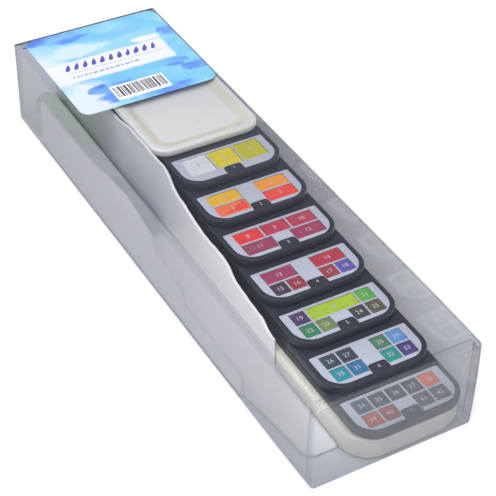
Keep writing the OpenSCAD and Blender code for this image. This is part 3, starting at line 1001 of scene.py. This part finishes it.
GREEN = moulded("cap_green", srgb(126, 176, 112), 0.22, 0.03, 0.03, 0.5)
GRIP = moulded("grip_grey", srgb(150, 158, 178), 0.4, 0.05, 0.03)
BARREL = clear_sheet("barrel_clear", (0.8, 0.84, 0.92, 1), srgb(150, 165, 195), 0.25, 0.45)
NOZZLE = moulded("nozzle_white", srgb(232, 234, 238), 0.35, 0.04, 0.02)
HAIR = moulded("bristle_nylon", srgb(238, 228, 202), 0.45, 0.1, 0.08)


def build_brush():
    low, high = span("brush_cap")
    r, length = (high.x - low.x) / 2, high.y - low.y
    outer = [(r - 0.9, 0), (r - 0.2, 0), (r, 0.3), (r, 5.6), (r - 0.25, 6), (r - 0.25, 6.6), (r, 7)]
    dome = [(r - 3 + 3 * math.cos(math.radians(a)), length - 3 + 3 * math.sin(math.radians(a)))
            for a in range(0, 91, 15)]
    bore = [(0.001, length), (0.001, length - 4), (r - 1.4, length - 4), (r - 0.9, length - 4.6)]
    turned("cap_green_shell", outer + dome + bore, GREEN, "brush_cap_body", "brush_cap")

    low, high = span("brush_grip")
    r = (high.x - low.x) / 2
    length = high.y - low.y - 12
    profile = [(3.6, 0), (r - 0.3, 0), (r, 0.3), (r, 5.7), (r - 0.3, 6)]
    for k in range(5):
        start = 8 + 4 * k
        profile += [(r - 0.6, start - 0.4), (r - 0.1, start), (r, start + 0.4), (r, start + 1.6),
                    (r - 0.1, start + 2), (r - 0.6, start + 2.4)]
    profile += [(r - 0.6, length - 0.3), (4.9, length), (4.9, length + 11.6), (4.5, length + 12),
                (0.001, length + 12), (0.001, 8), (3.6, 8)]
    turned("ribbed_grip", profile, GRIP, "water_brush", "brush_grip")

    low, high = span("brush_barrel")
    r = (high.x - low.x) / 2
    barrel = 36.0
    total = high.y - low.y
    back = [(r - 3 + 3 * math.sin(math.radians(a)), 3 - 3 * math.cos(math.radians(a)))
            for a in range(0, 91, 15)]
    profile = [(0.001, 0)] + back + [(r - 0.1, 8), (r - 0.5, 10), (r - 0.1, 12), (r, barrel - 2),
               (r, barrel - 0.3), (r - 0.3, barrel), (3.5, barrel), (3.5, total), (2.6, total),
               (2.6, barrel - 2), (r - 0.9, barrel - 2.4), (r - 0.9, 4), (2.6, 4), (2.6, 1),
               (0.001, 1)]
    turned("clear_barrel", profile, BARREL, "water_brush", "brush_barrel")

    low, high = span("brush_nozzle")
    total = high.y - low.y
    profile = [(0.001, 0), (3.4, 0), (3.4, 1.8), (3.2, 2.3), (2.6, 6), (2.2, 10), (1.9, 15),
               (1.75, total - 0.3), (1.6, total), (1.3, total), (1.3, total - 5), (0.001, total - 5)]
    turned("nozzle_cone", profile, NOZZLE, "water_brush", "brush_nozzle")


def build_bristles():
    """A tuft of separate tapering hairs that swells and closes to a point."""
    low, high = span("brush_bristles")
    axis_x, axis_z = (low.x + high.x) / 2, (low.z + high.z) / 2
    length = high.y - low.y
    envelope = [(0, 1.2), (5, 1.2), (7.5, 1.4), (10.5, 1.0), (14, 0.1)]
    bm = bmesh.new()
    order = random.Random(7)
    hairs, sides = 90, 5
    for n in range(hairs):
        angle = n * 2.39996
        share = math.sqrt((n + 0.5) / hairs) * 0.94
        reach = length * (1 - 0.1 * order.random())
        rows = []
        for k in range(9):
            d = reach * k / 8
            r = wave(envelope, d) * share
            x, z = axis_x + r * math.cos(angle), axis_z + r * math.sin(angle)
            thin = 0.11 * (1 - 0.75 * (k / 8) ** 3)
            rows.append([bm.verts.new((x + thin * math.cos(2 * math.pi * s / sides), low.y + d,
                                       z + thin * math.sin(2 * math.pi * s / sides)))
                         for s in range(sides)])
        skin(bm, rows)
        bm.faces.new(rows[0])
        bm.faces.new(rows[-1])
    make("nylon_tuft", bm, HAIR, "water_brush", ["brush_bristles"], 60, merge=0)


build_brush()
build_bristles()


# ---------------------------------------------------------------- stage

def build_floor():
    material, nodes, links, shader = new_material("floor_paper")
    cloud = noise(nodes, links, 3, 3)
    tone = ramp(nodes, links, cloud.outputs["Fac"], [(0.3, grey(0.93)), (0.7, grey(0.95))])
    links.new(tone.outputs["Color"], shader.inputs["Base Color"])
    shader.inputs["Roughness"].default_value = 0.85
    mesh = bpy.data.meshes.new("floor")
    bm = bmesh.new()
    bmesh.ops.create_grid(bm, x_segments=2, y_segments=2, size=6)
    bm.to_mesh(mesh)
    bm.free()
    mesh.transform(Matrix.Translation((0, 0, CAD_BOX[0][2] - 0.0002)))
    mesh.materials.append(material)
    floor = bpy.data.objects.new("floor", mesh)
    SCENE.collection.objects.link(floor)


def add_sun(name, towards, spread, strength):
    """A broad, even studio light whose rays come from the given direction."""
    data = bpy.data.lights.new(name, "SUN")
    data.angle = math.radians(spread)
    data.energy = strength
    lamp = bpy.data.objects.new(name, data)
    lamp.rotation_mode = "QUATERNION"
    lamp.rotation_quaternion = Vector(towards).to_track_quat("Z", "Y")
    SCENE.collection.objects.link(lamp)


def build_world():
    """A studio that is bright around the horizon and straight above, and darker between."""
    world = bpy.data.worlds.new("studio")
    world.use_nodes = True
    nodes, links = world.node_tree.nodes, world.node_tree.links
    coords = nodes.new("ShaderNodeTexCoord")
    split = nodes.new("ShaderNodeSeparateXYZ")
    links.new(coords.outputs["Generated"], split.inputs["Vector"])
    tone = ramp(nodes, links, split.outputs["Z"],
                [(0.0, grey(0.95)), (0.3, grey(0.85)), (0.5, grey(0.25)), (0.78, grey(0.3)),
                 (0.9, grey(1.0))])
    links.new(tone.outputs["Color"], nodes["Background"].inputs["Color"])
    SCENE.world = world


def build_stage():
    build_floor()
    add_sun("key_light", (-0.4, -0.4, 0.8), 50, 1.6)
    add_sun("left_light", (-0.8, -0.15, 0.55), 60, 0.2)
    add_sun("fill_light", (-0.1, 0.0, 0.99), 70, 0.95)
    build_world()
    SCENE.view_settings.view_transform = "Standard"
    SCENE.view_settings.look = "None"
    SCENE.cycles.transparent_max_bounces = 24


LENS = 108.27
EYE = (-0.2518, -0.4516, 0.4326)
AIM = (50.237, -1.158, -29.576)   # degrees about X, Y and Z


def build_camera():
    """The viewing direction, from the front left and above, with a slight roll."""
    data = bpy.data.cameras.new("camera")
    data.sensor_width = 36
    data.lens = LENS
    data.clip_start, data.clip_end = 0.05, 20
    camera = bpy.data.objects.new("camera", data)
    camera.rotation_mode = "XYZ"
    camera.location = EYE
    camera.rotation_euler = [math.radians(a) for a in AIM]
    SCENE.collection.objects.link(camera)
    SCENE.camera = camera


build_stage()
build_camera()
